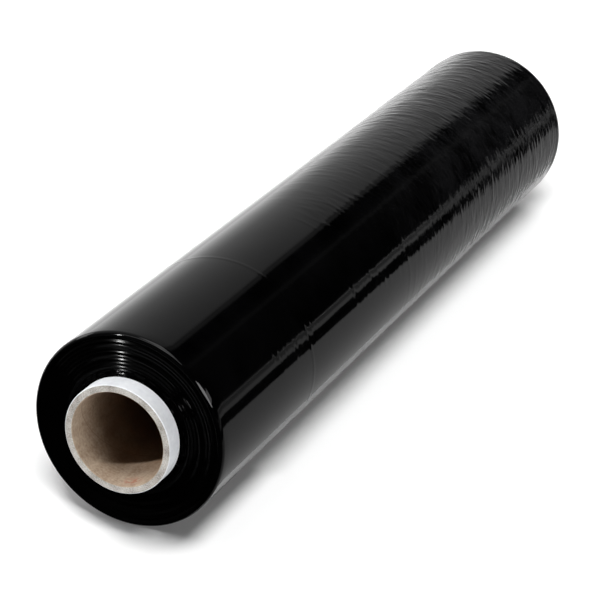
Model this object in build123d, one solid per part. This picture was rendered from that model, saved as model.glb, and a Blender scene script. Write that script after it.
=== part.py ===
from build123d import *
import math
import os

# A hand roll of stretch wrap, lying on its side. Its axis runs along Y, Z points up, and the
# origin is on the floor under the middle of the roll. Lengths are in millimetres.

# The core: a wound cardboard tube, longer than the film is wide
core_bore = 50.0  # takes a dispenser's spindle or two hand grips
core_wall = 4.0
core_overhang = 10.0  # how far the tube stands out of the film at each end
core_edge = 0.4  # the cut corners of the board are just broken

# The film: about 300 m of thin film, wound on the core
film_width = 500.0
film_diameter = 104.5
curl_along = 3.0  # the outermost turns curl over at both ends: how far along the roll
curl_in = 2.0  # and how far down the end
curl_steps = 4
flat_width = 14.0  # where the soft turns are pressed flat on the floor

# The turns swayed from side to side on the winder, which left shallow rings on both ends.
# From the core outwards, each bundle of turns has its share of the wound thickness, and how
# far its last turn is set back, as a share of the deepest ring.
ring_depth = 0.60
innermost_turn = 0.35
near_bundles = ((3, 0.9), (2, 0.25), (4, 0.8), (1, 0.4), (3, 1.0), (2, 0.25), (5, 0.0))
far_bundles = ((4, 0.8), (1, 0.35), (3, 0.75), (3, 0.15), (2, 0.9), (2, 0.4), (5, 0.0))

# One crease goes round the roll in its smooth half
crease_from_near = 107.0
crease_width = 3.0
crease_height = 0.20

# Ridges of film bunch up round the other half, closer together towards the far end. Each pitch
# is a fixed ratio larger than the last, and the heights repeat as shares of the tallest.
ridge_count = 14
first_pitch = 7.0
pitch_ratio = 1.14
ridge_width = 4.0
ridge_height = 0.30
ridge_shares = (1.0, 0.6, 0.85, 0.45, 0.75)

core_radius = core_bore / 2 + core_wall
core_length = film_width + 2 * core_overhang
film_radius = film_diameter / 2
near_end = -film_width / 2
far_end = film_width / 2
axis_height = math.sqrt(film_radius**2 - (flat_width / 2) ** 2)


def bundle_corners(bundles, end, inward):
    """Corners of one wound end in radius and length, from the core out to the rim's curl."""
    thickness = film_radius - curl_in - core_radius
    all_parts = sum(parts for parts, set_back in bundles)
    radius = core_radius
    corners = [(radius, end + inward * innermost_turn * ring_depth)]
    for parts, set_back in bundles:
        radius += thickness * parts / all_parts
        corners.append((radius, end + inward * set_back * ring_depth))
    return corners


def raised_rings():
    """Middle, width and height of each ring that stands out of the wound surface, from the near end."""
    rings = [(near_end + crease_from_near, crease_width, crease_height)]
    from_curl = first_pitch
    pitch = first_pitch
    for number in range(ridge_count):
        height = ridge_height * ridge_shares[number % len(ridge_shares)]
        rings.append((far_end - curl_along - from_curl, ridge_width, height))
        pitch *= pitch_ratio
        from_curl += pitch
    return sorted(rings)


def curl_corners(end, inward):
    """Corners of a rim's curl, a quarter of an ellipse, from the roll's end to its outside."""
    corners = []
    for step in range(1, curl_steps):
        turned = math.pi / 2 * step / curl_steps
        radius = film_radius - curl_in * (1 - math.sin(turned))
        corners.append((radius, end + inward * curl_along * (1 - math.cos(turned))))
    return corners


def wound_surface():
    """Corners of the roll's outside from the near curl to the far one, level between low creases."""
    corners = [(film_radius, near_end + curl_along)]
    for middle, width, height in raised_rings():
        corners.append((film_radius, middle - width / 2))
        corners.append((film_radius + height, middle))
        corners.append((film_radius, middle + width / 2))
    corners.append((film_radius, far_end - curl_along))
    return corners


def film_roll():
    """All the turns as one solid: a revolved section, pressed flat where it lies."""
    near = bundle_corners(near_bundles, near_end, 1) + curl_corners(near_end, 1)
    far = bundle_corners(far_bundles, far_end, -1) + curl_corners(far_end, -1)
    section = make_face(Polyline(*near, *wound_surface(), *reversed(far), close=True))
    wound = revolve(section, Axis.Y)
    floor_block = Box(film_diameter, film_width, film_diameter, align=(Align.CENTER, Align.CENTER, Align.MAX))
    return wound - Pos(0, 0, -axis_height) * floor_block


def core_tube():
    """The cardboard tube, cut square at both ends."""
    wall = Pos(core_bore / 2 + core_wall / 2, 0) * Rectangle(core_wall, core_length)
    return revolve(chamfer(wall.vertices(), core_edge), Axis.Y)


os.makedirs("parts", exist_ok=True)
for node, solid in (("core_tube", core_tube()), ("film_roll", film_roll())):
    export_step(Pos(0, 0, axis_height) * solid, f"parts/{node}.step")
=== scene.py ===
import math
import random

import bmesh
import bpy
import numpy as np
from mathutils import Matrix, Vector, noise


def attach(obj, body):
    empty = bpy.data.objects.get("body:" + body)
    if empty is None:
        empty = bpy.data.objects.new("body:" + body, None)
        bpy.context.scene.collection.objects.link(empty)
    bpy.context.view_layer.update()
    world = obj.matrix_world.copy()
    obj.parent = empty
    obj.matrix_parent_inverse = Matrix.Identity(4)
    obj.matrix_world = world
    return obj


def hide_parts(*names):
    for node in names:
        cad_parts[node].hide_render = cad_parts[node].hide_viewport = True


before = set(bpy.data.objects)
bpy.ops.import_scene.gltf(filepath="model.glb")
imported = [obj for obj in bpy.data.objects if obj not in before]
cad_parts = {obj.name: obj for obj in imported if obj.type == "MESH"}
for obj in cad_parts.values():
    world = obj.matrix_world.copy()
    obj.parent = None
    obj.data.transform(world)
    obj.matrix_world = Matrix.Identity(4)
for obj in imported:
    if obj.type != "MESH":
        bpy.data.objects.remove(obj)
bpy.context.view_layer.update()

# The film: about 300 m of thin black polyethylene, wound under tension on the core until its turns
# cling into one block. Nothing holds it but its own cling. Its outermost turns have curled over at
# both rims, and they lie pressed flat in a narrow strip on the floor.
film_radius = 0.05225
film_half = 0.25
axis_height = 0.051779  # a little less than the radius, because the roll lies on its flat strip
hole_radius = 0.029
curl_along = 0.003
curl_in = 0.002
face_top = film_radius - curl_in
tiny = 1e-6

# Each stretch of the outside starts at a place along the roll and has the rows that its relief needs
outside_rows = (
    (-film_half + curl_along, 12), (-0.186, 66), (-0.126, 18), (-0.104, 62), (-0.034, 96), (0.060, 270),
)
face_rows = 44
curl_rows = 7
film_columns = 150


def curl_corners(end, inward):
    """Radius and place of the points round a rim's curl, from the wound end to the outside."""
    for row in range(1, curl_rows + 1):
        turned = math.pi / 2 * row / curl_rows
        radius = film_radius - curl_in * (1 - math.sin(turned))
        yield radius, end + inward * curl_along * (1 - math.cos(turned))


def spun_shell(corners, columns):
    """A closed section, spun round the roll's axis. Each corner is a radius, a place along the roll
    and the number of cuts in the side that follows it."""
    bm = bmesh.new()
    ring = [bm.verts.new((0, along, axis_height + radius)) for radius, along, cuts in corners]
    sides = [bm.edges.new(ends) for ends in zip(ring, ring[1:] + ring[:1])]
    for side, (radius, along, cuts) in zip(sides, corners):
        if cuts:
            bmesh.ops.subdivide_edges(bm, edges=[side], cuts=cuts)
    bmesh.ops.spin(
        bm, geom=bm.verts[:] + bm.edges[:], cent=(0, 0, axis_height), axis=(0, 1, 0),
        angle=2 * math.pi, steps=columns, use_merge=True,
    )
    bmesh.ops.remove_doubles(bm, verts=bm.verts[:], dist=tiny)
    bmesh.ops.recalc_face_normals(bm, faces=bm.faces[:])
    return bm


corners = [(hole_radius, -film_half, face_rows), (face_top, -film_half, 0)]
corners += [(radius, along, 0) for radius, along in curl_corners(-film_half, 1)][:-1]
corners += [(film_radius, start, rows) for start, rows in outside_rows]
corners += [(radius, along, 0) for radius, along in curl_corners(film_half, -1)][::-1]
corners += [(face_top, film_half, face_rows), (hole_radius, film_half, 2)]
bm = spun_shell(corners, film_columns)
film_mesh = bpy.data.meshes.new("film")
bm.to_mesh(film_mesh)
bm.free()

points = np.zeros(len(film_mesh.vertices) * 3)
film_mesh.vertices.foreach_get("co", points)
points = points.reshape(-1, 3)
radius = np.hypot(points[:, 0], points[:, 2] - axis_height)
angle = np.arctan2(points[:, 0], points[:, 2] - axis_height)
along = points[:, 1].copy()
outside = radius > film_radius - tiny
on_curl = (radius > face_top + tiny) & ~outside
on_face = (np.abs(along) > film_half - tiny) & ~on_curl
on_turns = on_face & (radius > hole_radius + 10 * tiny)


def add_arcs(relief, seed, count, ends, middles, reaches, widths, heights, slant, growth=1):
    """Adds wrinkles, which are short arcs round the roll. Middles and reaches are in degrees. Growth
    above 1 makes them closer and higher towards the far end."""
    draw = random.Random(seed)
    for arc in range(count):
        share = draw.random() ** (1 / growth)
        middle = ends[0] + (ends[1] - ends[0]) * share
        centre = math.radians(draw.uniform(*middles))
        reach = math.radians(draw.uniform(*reaches))
        lean = draw.uniform(-slant, slant)
        width = draw.uniform(*widths)
        height = draw.uniform(*heights) * (0.3 + 0.7 * share if growth > 1 else 1)
        if draw.random() < 0.3:
            height = -0.6 * height
        near = np.abs(along - middle) < 4 * width + abs(lean) * reach + 0.0009
        turned = (angle[near] - centre + math.pi) % (2 * math.pi) - math.pi
        fade = np.clip(1 - (turned / reach) ** 2, 0, 1) ** 1.5
        offset = along[near] - middle - lean * turned - 0.0006 * np.sin(turned * 9 + arc)
        relief[near] += height * fade * np.exp(-((offset / width) ** 2))


# Long low wrinkles and short sharp ones go all round the far half. Single hairs lie before them:
# on the right near the crease, then further along on the right, and on top.
wrinkles = np.zeros_like(along)
add_arcs(
    wrinkles, 11, 1050, ends=(-0.070, 0.247), middles=(-180, 180), reaches=(8, 34),
    widths=(0.0009, 0.0015), heights=(0.00003, 0.00010), slant=0.012, growth=1.7,
)
add_arcs(
    wrinkles, 12, 1750, ends=(-0.040, 0.247), middles=(-180, 180), reaches=(2.5, 9),
    widths=(0.0007, 0.0011), heights=(0.00005, 0.00020), slant=0.018, growth=1.5,
)
add_arcs(
    wrinkles, 13, 34, ends=(-0.184, -0.128), middles=(58, 75), reaches=(3, 7),
    widths=(0.0006, 0.0009), heights=(0.00004, 0.00010), slant=0.015,
)
add_arcs(
    wrinkles, 14, 60, ends=(-0.092, -0.010), middles=(50, 78), reaches=(3, 8),
    widths=(0.0008, 0.0012), heights=(0.00003, 0.00008), slant=0.02,
)
add_arcs(
    wrinkles, 15, 50, ends=(-0.076, -0.010), middles=(6, 44), reaches=(5, 14),
    widths=(0.0008, 0.0012), heights=(0.00003, 0.00010), slant=0.02,
)
highest_wrinkle = 0.00030
wrinkles = highest_wrinkle * np.tanh(wrinkles / highest_wrinkle)


def skin_noise(per_metre, shift, round_scale, octaves=0):
    """Noise over the film's skin, with a scale along the roll and one round it."""
    places = (
        Vector((y * per_metre + shift, math.sin(a) * round_scale, math.cos(a) * round_scale))
        for y, a in zip(along, angle)
    )
    if octaves:
        return np.array([noise.fractal(place, 1.0, 2.0, octaves) for place in places])
    return np.array([noise.noise(place) for place in places])


# The film's slow unevenness, its one crease in the smooth half, and its puckers in the far half
unevenness = 0.00003 * skin_noise(9, 0, 1.3) + 0.00002 * skin_noise(55, 3, 4)
crease_line = -0.143 + 0.0028 * np.sin(1.3 * angle - 1.9) + 0.0010 * np.sin(3 * angle + 0.6)
crease = 0.00009 * np.exp(-(((along - crease_line) / 0.0008) ** 2))
puckers_from = -0.030
puckers_full = 0.130
far_share = np.clip((along - puckers_from) / (puckers_full - puckers_from), 0, 1)
far_share = far_share * far_share * (3 - 2 * far_share)
puckers = 0.00012 * skin_noise(190, 7, 11, octaves=2) * far_share
taken_in = -0.00010  # keeps even the highest wrinkle inside the solid's box
new_radius = radius.copy()
new_radius[outside] += (taken_in + unevenness + wrinkles + puckers + crease)[outside]

# The rims: both are a little wavy, and the near one is pressed straight in one place
rim_wave = 0.00006 * np.array([
    noise.noise(Vector((math.sin(a) * 9, math.cos(a) * 9, 3 if y > 0 else 8))) for y, a in zip(along, angle)
])
curl_share = np.clip((radius - face_top) / curl_in, 0, 1)
new_radius[on_curl] += (curl_share * (taken_in + rim_wave))[on_curl]
near_curl = on_curl & (along < 0)
pressed = 0.65 * np.exp(-(((angle - math.radians(55)) / math.radians(7)) ** 2))
straight = face_top + curl_in * (along + film_half) / curl_along
new_radius[near_curl] += (pressed * (straight - radius))[near_curl]

# Single turns on the ends. The bundles are the winder's sway: from the core outwards, each has its
# share of the wound thickness and how far its last turn is set back, as a share of the deepest.
# Every fourth turn stands prouder than the next, and so do some that hug the core and one near the
# rim.
near_bundles = ((3, 0.9), (2, 0.25), (4, 0.8), (1, 0.4), (3, 1.0), (2, 0.25), (5, 0.0))
far_bundles = ((4, 0.8), (1, 0.35), (3, 0.75), (3, 0.15), (2, 0.9), (2, 0.4), (5, 0.0))
ring_depth = 0.0006
innermost_turn = 0.35
core_steps = (0.0, 0.00003, 0.00036, 0.00008, 0.00038, 0.00010, 0.00030)
rim_steps = (0.0, 0.00050, 0.00040, 0.00024, 0.00008, 0.0)
proud_turns = range(7, 40, 4)
proud_slopes = (34.5, 39)
turn_pitch = (face_top - hole_radius) / (face_rows + 1)
turn_draw = random.Random(5)


def turn_depths(bundles):
    """How far back each turn lies: its bundle's own sway, and a step down after each prouder turn."""
    parts = sum(share for share, depth in bundles)
    at = [hole_radius]
    back = [innermost_turn * ring_depth]
    for share, depth in bundles:
        at.append(at[-1] + (face_top - hole_radius) * share / parts)
        back.append(depth * ring_depth)
    sway = np.interp(hole_radius + turn_pitch * np.arange(face_rows + 2), at, back)
    depths = sway.copy()
    for turn in proud_turns:
        step = turn_pitch * math.tan(math.radians(turn_draw.uniform(*proud_slopes)))
        depths[turn + 1] = depths[turn] + step
        depths[turn + 2] = (2 * depths[turn + 1] + sway[turn + 4]) / 3
        depths[turn + 3] = (depths[turn + 1] + 2 * sway[turn + 4]) / 3
    depths[:len(core_steps)] += core_steps
    depths[-len(rim_steps):] += rim_steps
    return depths


turn = (radius - hole_radius) / turn_pitch
near_depth = np.interp(turn, range(face_rows + 2), turn_depths(near_bundles))
far_depth = np.interp(turn, range(face_rows + 2), turn_depths(far_bundles))

# On the near end the innermost turns are crimped, and a knock has roughened a patch of others
crimp = np.random.default_rng(7).uniform(0, 1, len(turn))
near_depth += np.where(np.abs(turn - 3.5) < 2.6, 0.00060 * (crimp - 0.5), 0)
knock = np.exp(-(((angle - math.radians(56)) / math.radians(10)) ** 4)) * (np.abs(radius - 0.0374) < 0.0042)
knock_depth = 0.0001 + 0.0006 * (np.round(turn) % 2) + 0.0002 * crimp
near_depth += knock * (knock_depth - near_depth)
near_turns = on_turns & (along < 0)
far_turns = on_turns & (along > 0)
points[near_turns, 1] += np.maximum(near_depth, 0)[near_turns]
points[far_turns, 1] -= far_depth[far_turns]

scale = new_radius / np.maximum(radius, tiny)
points[:, 0] *= scale
points[:, 2] = np.maximum(axis_height + (points[:, 2] - axis_height) * scale, 0)
film_mesh.vertices.foreach_set("co", points.ravel())
film_mesh.update()
film_mesh.shade_smooth()
pairs = np.zeros(len(film_mesh.edges) * 2, dtype=np.int32)
film_mesh.edges.foreach_get("vertices", pairs)
pairs = pairs.reshape(-1, 2)
turn_edges = on_face[pairs].all(axis=1) & (np.abs(radius[pairs[:, 0]] - radius[pairs[:, 1]]) < tiny)
film_mesh.edges.foreach_set("use_edge_sharp", turn_edges)


def new_finish(name):
    """A material, with its node tree and its shader."""
    finish = bpy.data.materials.new(name)
    finish.use_nodes = True
    return finish, finish.node_tree, finish.node_tree.nodes["Principled BSDF"]


def set_inputs(tree, node, values):
    """Gives each of a node's inputs a plain value, or the output that feeds it."""
    for name, value in values.items():
        if isinstance(value, bpy.types.NodeSocket):
            tree.links.new(value, node.inputs[name])
        else:
            node.inputs[name].default_value = value


def add_node(tree, kind, values, **settings):
    """A node with its settings and its inputs."""
    node = tree.nodes.new("ShaderNode" + kind)
    for name, setting in settings.items():
        setattr(node, name, setting)
    set_inputs(tree, node, values)
    return node


def add_math(tree, operation, *values):
    """One sum on plain values and on the outputs of other nodes."""
    return add_node(tree, "Math", dict(enumerate(values)), operation=operation).outputs[0]


def add_noise(tree, place, scale, detail):
    """Noise on the given coordinates."""
    return add_node(tree, "TexNoise", {"Vector": place, "Scale": scale, "Detail": detail}).outputs["Fac"]


def add_range(tree, value, old, new, **settings):
    """A value taken from its old range to a new one."""
    values = {"Value": value, "From Min": old[0], "From Max": old[1], "To Min": new[0], "To Max": new[1]}
    return add_node(tree, "MapRange", values, **settings).outputs["Result"]


def add_mix(tree, share, first, second):
    """Two colours, mixed by the second one's share."""
    values = {"Factor": share, "A": first, "B": second}
    return add_node(tree, "Mix", values, data_type="RGBA").outputs["Result"]


def add_ramp(tree, share, stops):
    """A colour ramp through stops, each a place from 0 to 1 and a colour."""
    ramp = add_node(tree, "ValToRGB", {"Fac": share})
    elements = ramp.color_ramp.elements
    while len(elements) < len(stops):
        elements.new(0.5)
    for element, (place, colour) in zip(elements, stops):
        element.position = place
        element.color = colour
    return ramp.outputs["Color"]


# The film's gloss side. In its far half fine ripples break its reflections up, and stretched film
# has gone milky in fibres round the roll.
film_finish, tree, gloss = new_finish("black_film")
where = add_node(tree, "TexCoord", {}).outputs["Object"]
split = add_node(tree, "SeparateXYZ", {"Vector": where})
far_mask = add_range(tree, split.outputs["Y"], (-0.06, 0.15), (0.06, 1), interpolation_type="SMOOTHSTEP")
ripple_place = add_node(tree, "Mapping", {"Vector": where, "Scale": (90, 620, 90)})
ripple = add_noise(tree, ripple_place.outputs["Vector"], 1.0, 2.0)
dimpled = add_math(tree, "MULTIPLY_ADD", add_noise(tree, where, 330.0, 1.0), 0.5, ripple)
ripple_height = add_math(tree, "MULTIPLY", dimpled, far_mask)
ripple_bump = add_node(tree, "Bump", {"Strength": 1.0, "Distance": 0.00016, "Height": ripple_height})
haze = add_noise(tree, where, 35.0, 3.0)
black = add_ramp(tree, haze, ((0.3, (0.0001, 0.0001, 0.00012, 1)), (0.7, (0.0004, 0.0004, 0.00046, 1))))
fibre_place = add_node(tree, "Mapping", {"Vector": where, "Scale": (150, 900, 150)})
fibre = add_noise(tree, fibre_place.outputs["Vector"], 1.0, 2.0)
hazy_fibre = add_math(tree, "MULTIPLY_ADD", haze, 0.8, fibre)
milky = add_math(tree, "MULTIPLY", add_range(tree, hazy_fibre, (0.72, 1.10), (0, 1)), far_mask)
set_inputs(tree, gloss, {
    "IOR": 1.17,
    "Roughness": add_range(tree, haze, (0.3, 0.7), (0.05, 0.08)),
    "Normal": ripple_bump.outputs["Normal"],
    "Base Color": add_mix(tree, milky, black, (0.0040, 0.0040, 0.0043, 1)),
})

# The cut edges of the turns, seen end on: black, with only a little gloss on the turns' flanks
film_end_finish, tree, edge_gloss = new_finish("black_film_end")
where = add_node(tree, "TexCoord", {}).outputs["Object"]
centred = add_node(tree, "Mapping", {"Vector": where, "Location": (0, 0, -axis_height)})
flat_place = add_node(tree, "VectorMath", {0: centred.outputs["Vector"], 1: (1, 0, 1)}, operation="MULTIPLY")
flat_place = flat_place.outputs["Vector"]
turn_radius = add_node(tree, "VectorMath", {0: flat_place}, operation="LENGTH")
slow_round = add_node(tree, "VectorMath", {0: flat_place, "Scale": 90.0}, operation="SCALE")
round_split = add_node(tree, "SeparateXYZ", {"Vector": slow_round.outputs["Vector"]})
turn_place = add_node(tree, "CombineXYZ", {
    "X": add_math(tree, "MULTIPLY", turn_radius.outputs["Value"], 3300.0),
    "Y": round_split.outputs["X"],
    "Z": round_split.outputs["Z"],
})
turn_noise = add_noise(tree, turn_place.outputs["Vector"], 1.0, 2.0)
turn_bump = add_node(tree, "Bump", {"Strength": 1.0, "Distance": 0.000008, "Height": turn_noise})
turn_black = add_ramp(tree, turn_noise, (
    (0, (0.0001, 0.0001, 0.0001, 1)),
    (1, (0.0004, 0.0004, 0.0004, 1)),
))
set_inputs(tree, edge_gloss, {
    "IOR": 1.09,
    "Roughness": add_range(tree, turn_noise, (0, 1), (0.12, 0.18)),
    "Normal": turn_bump.outputs["Normal"],
    "Base Color": turn_black,
})

end_depth = 0.0024  # no turn on the ends lies deeper
turns_top = face_top - 0.0004  # the outermost turn above it shines like the outside
film = bpy.data.objects.new("film_roll_wound", film_mesh)
bpy.context.scene.collection.objects.link(film)
film_mesh.materials.append(film_finish)
film_mesh.materials.append(film_end_finish)
for face in film_mesh.polygons:
    reach = math.hypot(face.center.x, face.center.z - axis_height)
    if abs(face.center.y) > film_half - end_depth and reach < turns_top:
        face.material_index = 1
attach(film, "root")
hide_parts("film_roll")

# The core: a tube of brown board wound from strips in a spiral and glued, faced outside with white
# paper and cut square. The film grips it, and it stands out of the film at both ends.
core_half = 0.26
bore_radius = 0.025
core_edge = 0.0004
core_columns = 144
ply_cuts = 11
film_end = film_half - 0.0004  # the row just inside the film's end

bm = spun_shell((
    (bore_radius, -core_half + core_edge, 0), (bore_radius + core_edge, -core_half, ply_cuts),
    (hole_radius - core_edge, -core_half, 0), (hole_radius, -core_half + core_edge, 5),
    (hole_radius, -film_end, 40), (hole_radius, film_end, 5),
    (hole_radius, core_half - core_edge, 0), (hole_radius - core_edge, core_half, ply_cuts),
    (bore_radius + core_edge, core_half, 0), (bore_radius, core_half - core_edge, 60),
), core_columns)
ply_draw = random.Random(3)
ply_depth = [ply_draw.uniform(0, 0.00012) for ply in range(ply_cuts + 2)]
ply_depth[0] = 0
ply_depth[-1] = 0
ply_pitch = (hole_radius - bore_radius - 2 * core_edge) / (ply_cuts + 1)
for vert in bm.verts:
    if abs(vert.co.y) > core_half - tiny:
        reach = math.hypot(vert.co.x, vert.co.z - axis_height)
        turned = math.atan2(vert.co.x, vert.co.z - axis_height)
        rough = noise.noise(Vector((math.sin(turned) * 9, math.cos(turned) * 9, reach * 3000 + vert.co.y)))
        depth = ply_depth[round((reach - bore_radius - core_edge) / ply_pitch)] + 0.00005 * (0.5 + rough)
        vert.co.y -= math.copysign(depth, vert.co.y)
core_mesh = bpy.data.meshes.new("core")
bm.to_mesh(core_mesh)
bm.free()
core_mesh.shade_smooth()
core_mesh.set_sharp_from_angle(angle=math.radians(35))


def spiral_winding():
    """A group that follows the board's strips: their grain and blotches, and the joint between turns."""
    group = bpy.data.node_groups.new("spiral_winding", "ShaderNodeTree")
    for name, value in (("Pitch", 0.11), ("Grain Scale", 900)):
        group.interface.new_socket(name, in_out="INPUT", socket_type="NodeSocketFloat").default_value = value
    for name in ("Grain", "Blotch", "Joint"):
        group.interface.new_socket(name, in_out="OUTPUT", socket_type="NodeSocketFloat")
    values = group.nodes.new("NodeGroupInput")
    results = group.nodes.new("NodeGroupOutput")
    where = add_node(group, "TexCoord", {}).outputs["Object"]
    centred = add_node(group, "Mapping", {"Vector": where, "Location": (0, 0, -axis_height)})
    split = add_node(group, "SeparateXYZ", {"Vector": centred.outputs["Vector"]})
    turned = add_math(group, "ARCTAN2", split.outputs["X"], split.outputs["Z"])
    turn_share = add_math(group, "DIVIDE", turned, 2 * math.pi)
    length_share = add_math(group, "DIVIDE", split.outputs["Y"], values.outputs["Pitch"])
    strip = add_math(group, "PINGPONG", add_math(group, "ADD", turn_share, length_share), 0.5)
    along_place = add_node(group, "Mapping", {"Vector": where, "Scale": (150, 38, 150)})
    set_inputs(group, results, {
        "Grain": add_noise(group, where, values.outputs["Grain Scale"], 3.0),
        "Blotch": add_noise(group, along_place.outputs["Vector"], 1.0, 3.0),
        "Joint": add_range(group, strip, (0, 0.006), (1, 0)),
    })
    return group


winding = spiral_winding()


def board_finish(name, dark, light, joint, rough, pitch, grain_scale, bump):
    """Board or paper: two tones mixed by its blotches and grain, and darker at the joint of its strips."""
    finish, tree, shader = new_finish(name)
    strips = add_node(tree, "Group", {"Pitch": pitch, "Grain Scale": grain_scale}, node_tree=winding)
    speckle = add_math(tree, "ADD", strips.outputs["Grain"], strips.outputs["Blotch"])
    tones = add_mix(tree, add_range(tree, speckle, (0.72, 1.28), (0, 1)), (*dark, 1), (*light, 1))
    relief = add_node(tree, "Bump", {"Distance": bump, "Height": strips.outputs["Grain"]})
    set_inputs(tree, shader, {
        "Roughness": rough,
        "Specular IOR Level": 0.2,
        "Normal": relief.outputs["Normal"],
        "Base Color": add_mix(tree, strips.outputs["Joint"], tones, (*joint, 1)),
    })
    return finish


paper = board_finish(
    "white_paper", dark=(0.60, 0.615, 0.64), light=(0.70, 0.715, 0.735), joint=(0.45, 0.45, 0.46),
    rough=0.75, pitch=0.11, grain_scale=420, bump=0.00006,
)
cut_board = board_finish(
    "cut_board", dark=(0.20, 0.185, 0.165), light=(0.50, 0.48, 0.45), joint=(0.35, 0.33, 0.30),
    rough=0.95, pitch=0.11, grain_scale=1500, bump=0.00030,
)
brown_board = board_finish(
    "brown_board", dark=(0.25, 0.18, 0.125), light=(0.40, 0.32, 0.24), joint=(0.23, 0.165, 0.115),
    rough=0.92, pitch=0.09, grain_scale=700, bump=0.00008,
)

# The brown board has a faint reddish rub low in the bore, and painted shade darkens it further into the bore
tree = brown_board.node_tree
shader = tree.nodes["Principled BSDF"]
plain_colour = shader.inputs["Base Color"].links[0].from_socket
where = add_node(tree, "TexCoord", {}).outputs["Object"]
rub_centre = (0.0052, -0.2545, 0.0273)
from_rub = add_node(tree, "VectorMath", {0: where, 1: rub_centre}, operation="DISTANCE")
rub_edge = add_range(tree, from_rub.outputs["Value"], (0.0068, 0.0020), (0, 1))
rub_parts = add_range(tree, add_noise(tree, where, 420.0, 4.0), (0.44, 0.56), (0, 0.8))
rub = add_math(tree, "MULTIPLY", rub_edge, rub_parts)
rubbed = add_mix(tree, rub, plain_colour, (0.32, 0.125, 0.08, 1))
split = add_node(tree, "SeparateXYZ", {"Vector": where})
from_middle = add_math(tree, "ABSOLUTE", split.outputs["Y"])
# Painted shade: the bore's board is painted darker the further it lies from the mouth
painted_shade_share = add_range(tree, from_middle, (0.256, 0.205), (0, 0.90))
painted_shade_colour = add_mix(tree, painted_shade_share, rubbed, (0.125, 0.058, 0.024, 1))
set_inputs(tree, shader, {"Base Color": painted_shade_colour})

core_mesh.materials.append(paper)
core_mesh.materials.append(cut_board)
core_mesh.materials.append(brown_board)
for face in core_mesh.polygons:
    reach = math.hypot(face.center.x, face.center.z - axis_height)
    if reach < bore_radius + core_edge * 0.8:
        face.material_index = 2
    elif abs(face.center.y) > core_half - 0.00022 and reach < hole_radius - core_edge * 0.6:
        face.material_index = 1
core = bpy.data.objects.new("core_tube_wound", core_mesh)
bpy.context.scene.collection.objects.link(core)
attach(core, "root")
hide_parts("core_tube")

# The floor: a plain white sheet that the roll lies on, and no part of it. Before the near end it is
# in strips. Each has a lamp of its own, and all are lit alike, so that the shadow turns round the end.
floor_reach = 14.0
strips_to = -0.17
strips_left = -0.052
strips_right = 0.022
strip_count = 25
floor_light = 2.94
lamp_to_right = 0.363
white = (1, 1, 1, 1)

floor_finish, tree, sheet = new_finish("floor_white")
path = add_node(tree, "LightPath", {})
seen = add_math(tree, "MAXIMUM", path.outputs["Is Camera Ray"], path.outputs["Is Glossy Ray"])
seen = add_math(tree, "MAXIMUM", seen, path.outputs["Is Transmission Ray"])
set_inputs(tree, sheet, {
    "Base Color": (0.90, 0.90, 0.90, 1),
    "Roughness": 1.0,
    "Specular IOR Level": 0.0,
    "Emission Color": white,
    "Emission Strength": add_math(tree, "MULTIPLY", seen, 0.11),
})


def level_sheet(name, low, high, height, turned=0):
    """A level rectangle between two corners, turned by some degrees round its low corner."""
    bm = bmesh.new()
    bmesh.ops.create_grid(bm, x_segments=1, y_segments=1, size=0.5)
    bmesh.ops.scale(bm, verts=bm.verts[:], vec=(high[0] - low[0], high[1] - low[1], 1))
    bmesh.ops.translate(bm, verts=bm.verts[:], vec=((low[0] + high[0]) / 2, (low[1] + high[1]) / 2, height))
    if turned:
        turn_round = Matrix.Rotation(math.radians(turned), 3, "Z")
        bmesh.ops.rotate(bm, verts=bm.verts[:], cent=(*low, 0), matrix=turn_round)
    mesh = bpy.data.meshes.new(name)
    bm.to_mesh(mesh)
    bm.free()
    level = bpy.data.objects.new(name, mesh)
    bpy.context.scene.collection.objects.link(level)
    return level


def far_lamp(name, way, strength, spread, lit):
    """A round lamp far off in one direction, which lights only what the collection holds."""
    light = bpy.data.lights.new(name, "SUN")
    light.energy = strength
    light.angle = math.radians(spread)
    lamp = bpy.data.objects.new(name, light)
    lamp.rotation_euler = way.to_track_quat("Z", "Y").to_euler()
    bpy.context.scene.collection.objects.link(lamp)
    lamp.light_linking.receiver_collection = lit


strip_edges = (-floor_reach, *np.linspace(strips_left, strips_right, strip_count + 1), floor_reach)
floor_parts = [((-floor_reach, strips_to), (floor_reach, floor_reach), strips_left)]
for left, right in zip(strip_edges, strip_edges[1:]):
    middle = np.clip((left + right) / 2, strips_left, strips_right)
    floor_parts.append(((left, -floor_reach), (right, strips_to), middle))
for number, (low, high, middle) in enumerate(floor_parts):
    floor = level_sheet(f"floor_{number}", low, high, 0)
    floor.data.materials.append(floor_finish)
    lit_floor = bpy.data.collections.new(f"lit_floor_{number}")
    lit_floor.objects.link(floor)
    lamp_behind = np.interp(
        middle, (strips_left, -0.040, -0.030, -0.020, -0.010, 0.0, 0.010, strips_right),
        (-0.68, -0.52, -0.40, -0.26, -0.14, -0.02, 0.08, 0.17),
    )
    way = Vector((lamp_to_right, lamp_behind, 1))
    spread = np.interp(middle, (-0.045, 0.0), (28, 23))
    strength = floor_light * way.length  # makes up for the lean, so that all parts are as bright
    far_lamp(f"floor_{number}_lamp", way, strength, spread, lit_floor)
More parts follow.
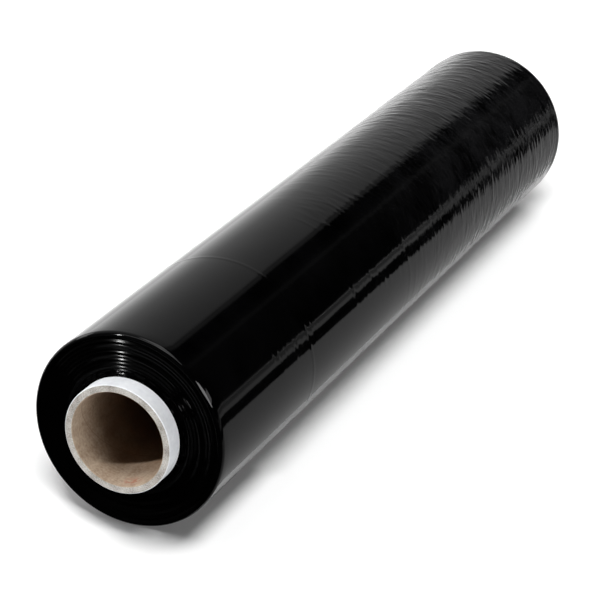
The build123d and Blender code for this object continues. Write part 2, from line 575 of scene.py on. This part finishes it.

# Glowing cards on the floor, which only gloss shows and which paint the film's reflections: bright
# ones on both sides are painted reflections in place of the lit floor, the nearest on the right
# darker towards the roll as painted shade, and black ones over them on the right and before the near
# end are painted dark reflections. Each has a level at its left side and one at its right side.
for name, low, high, height, turned, left_level, right_level in (
    ("painted_reflection_low", (0.046, -1.0), (0.30, 3.0), 0.0005, 0, 0.62, 1.02),
    ("painted_reflection_mid", (0.30, -1.0), (0.75, 4.0), 0.0005, 0, 0.88, 0.88),
    ("painted_reflection_beyond", (0.75, -1.0), (9.0, 6.0), 0.0005, 0, 0.42, 0.42),
    ("painted_reflection_left", (-12.0, 0.3), (-0.8, 12.0), 0.0005, 0, 1.8, 1.8),
    ("painted_reflection_left_near", (-0.8, -0.22), (-0.058, 3.0), 0.0005, 0, 1.3, 1.3),
    ("painted_dark_reflection_right", (0.207, -1.0), (0.40, 3.0), 0.0010, 0, 0, 0),
    ("painted_dark_reflection_right_low", (0.207, -0.2), (0.34, 3.0), 0.0015, 3, 0, 0),
    ("painted_dark_reflection_right_far", (0.30, 0.45), (0.41, 3.0), 0.0015, -7, 0, 0),
    ("painted_dark_reflection_front", (-4.0, -4.0), (4.0, -0.250), 0.0010, 0, 0, 0),
):
    # Each card glows at its painted reflection level and is hidden from all rays but gloss
    painted_reflection_finish, tree, painted_reflection_face = new_finish(name + "_finish")
    painted_reflection_level = left_level
    if right_level != left_level:
        where = add_node(tree, "TexCoord", {}).outputs["Object"]
        split = add_node(tree, "SeparateXYZ", {"Vector": where})
        painted_reflection_level = add_range(tree, split.outputs["X"], (low[0], high[0]), (left_level, right_level))
    set_inputs(tree, painted_reflection_face, {
        "Base Color": (0, 0, 0, 1),
        "Specular IOR Level": 0.0,
        "Emission Color": white,
        "Emission Strength": painted_reflection_level,
    })
    card = level_sheet(name, low, high, height, turned)
    card.data.materials.append(painted_reflection_finish)
    card.visible_camera = False
    card.visible_diffuse = False
    card.visible_transmission = False
    card.visible_shadow = False

# The studio's surround: bright on the left and overhead, with a dark opening on the right. Its front
# is nearly black, but gloss shows it at a fifth of the back's levels.
world = bpy.data.worlds.new("surround")
bpy.context.scene.world = world
world.use_nodes = True
tree = world.node_tree
facing = add_node(tree, "TexCoord", {}).outputs["Generated"]
split = add_node(tree, "SeparateXYZ", {"Vector": facing})
lean = add_math(tree, "ARCTAN2", split.outputs["X"], split.outputs["Z"])
lean_share = add_range(tree, lean, (-math.pi, math.pi), (0, 1))
lean_levels = (
    (-180, 1.0), (-96, 1.7), (-88, 1.7), (-74, 1.25), (-60, 0.94), (-20, 0.84), (2.5, 0.74), (5.0, 0.42),
    (6.0, 0.12), (7.2, 0.34), (8.8, 0.30), (11.2, 0.0), (24, 0.0), (31.5, 0.035), (33.5, 0.10), (36.5, 0.10),
    (38.5, 0.035), (60, 0.015), (89.6, 0.0), (90.4, 1.0), (180, 1.0),
)
back = add_ramp(tree, lean_share, [
    ((degrees + 180) / 360, (level, level, level, 1)) for degrees, level in lean_levels
])
ray_kind = add_node(tree, "LightPath", {})
front_in_gloss = add_mix(tree, 0.2, (0, 0, 0, 1), back)
front = add_mix(tree, ray_kind.outputs["Is Glossy Ray"], (0.03, 0.03, 0.03, 1), front_in_gloss)
back_share = add_range(tree, split.outputs["Y"], (-0.24, 0.10), (0, 1), interpolation_type="SMOOTHSTEP")
set_inputs(tree, tree.nodes["Background"], {"Color": add_mix(tree, back_share, front, back)})

# The roll's lamps: a small one high in front on the left, a broad one overhead, and two low on the
# right, one for the film and one for the core. Long ones on both sides and above show the film's
# gloss to whoever looks from there.
roll_only = bpy.data.collections.new("lit_roll")
roll_only.objects.link(film)
roll_only.objects.link(core)
film_only = bpy.data.collections.new("lit_film")
film_only.objects.link(film)
core_only = bpy.data.collections.new("lit_core")
core_only.objects.link(core)


def soft_lamp(name, way, distance, wide, high, radiance, lit):
    """A soft box in one direction, turned to the roll, which lights only what the collection holds."""
    light = bpy.data.lights.new(name, "AREA")
    light.shape = "RECTANGLE"
    light.size = wide
    light.size_y = high
    light.energy = radiance * math.pi * wide * high
    lamp = bpy.data.objects.new(name, light)
    lamp.location = way.normalized() * distance
    lamp.rotation_euler = way.to_track_quat("Z", "Y").to_euler()
    bpy.context.scene.collection.objects.link(lamp)
    lamp.light_linking.receiver_collection = lit


far_lamp("key", Vector((-0.50, -0.56, 0.66)), 2.8, 3, roll_only)
soft_lamp("overhead", Vector((0, -0.30, 0.954)), 6.0, 6.9, 1.0, 8.5, roll_only)
soft_lamp("side", Vector((0.86, -0.30, 0.41)), 3.0, 1.0, 0.9, 24, film_only)
soft_lamp("side_along", Vector((0.90, 0.08, 0.42)), 3.0, 1.7, 0.45, 7, film_only)
soft_lamp("left_along", Vector((-0.86, 0.06, 0.45)), 3.0, 2.2, 0.50, 5, film_only)
soft_lamp("above_along", Vector((0.12, 0.08, 1)), 6.0, 4.4, 2.8, 6.5, film_only)
soft_lamp("side_core", Vector((0.88, -0.40, 0.20)), 3.0, 1.1, 1.6, 8.5, core_only)

# The camera: a long lens, high in front of the near end and turned a little to its left.
camera_data = bpy.data.cameras.new("camera")
camera_data.lens = 140.34
camera_data.sensor_width = 36
camera = bpy.data.objects.new("camera", camera_data)
camera.location = (0.5026, -1.1446, 0.5634)
camera.rotation_euler = (math.radians(90 - 23.362), 0, math.radians(24.603))
bpy.context.scene.collection.objects.link(camera)
bpy.context.scene.camera = camera
bpy.context.scene.view_settings.view_transform = "Standard"
